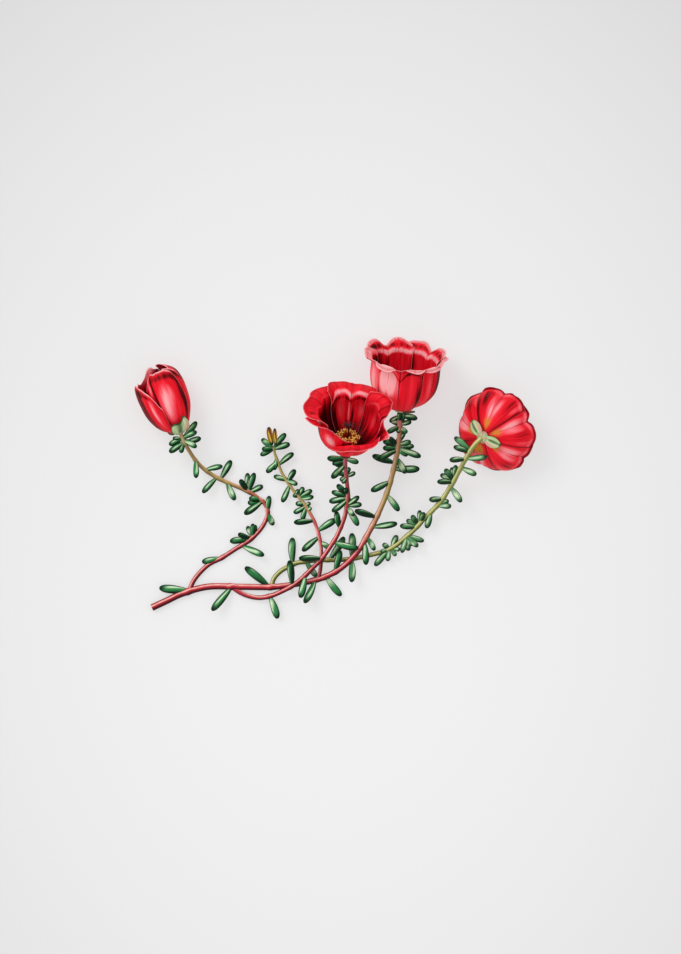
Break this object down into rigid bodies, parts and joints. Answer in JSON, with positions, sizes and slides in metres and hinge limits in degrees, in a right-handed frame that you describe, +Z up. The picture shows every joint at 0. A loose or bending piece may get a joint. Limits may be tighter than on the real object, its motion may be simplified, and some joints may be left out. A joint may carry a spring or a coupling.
{
  "type": "portulaca sprig",
  "caption": "Cut sprig of moss rose laid flat: branched red stem with fleshy narrow leaves, open and half-open double-lobed crimson blooms and small closed buds.",
  "frame": {"origin": "on the surface that the sprig lies on, under the middle of its bounding box", "axes": "+Z up from the surface; +X along the length of the sprig, away from the cut end; +Y towards the side that the blooms point to"},
  "size_m": [0.2002, 0.1409, 0.0443],
  "materials": {
    "leaf": "fleshy blue-green leaf with a waxy sheen on a red to olive stem",
    "petal": "silky crimson petal with fine veins and a pale pink rim",
    "sepal": "pale green sepal flushed with pink",
    "stamen": "powdery golden anthers on orange filaments",
    "pistil": "dark maroon style and stigma",
    "bud": "olive-brown bud with golden edges and a red flush"
  },
  "bodies": {
    "root": {"main_stem": "leaf", "left_branch": "leaf", "front_branch": "leaf", "bud_branch": "leaf", "right_branch": "leaf", "corolla_left": "petal", "calyx_left": "sepal", "stamens_left": "stamen", "pistil_left": "pistil", "corolla_front": "petal", "calyx_front": "sepal", "stamens_front": "stamen", "pistil_front": "pistil", "corolla_top": "petal", "calyx_top": "sepal", "stamens_top": "stamen", "pistil_top": "pistil", "corolla_right": "petal", "calyx_right": "sepal", "stamens_right": "stamen", "pistil_right": "pistil", "bud_large": "bud", "bud_small": "bud"}
  },
  "joints": []
}
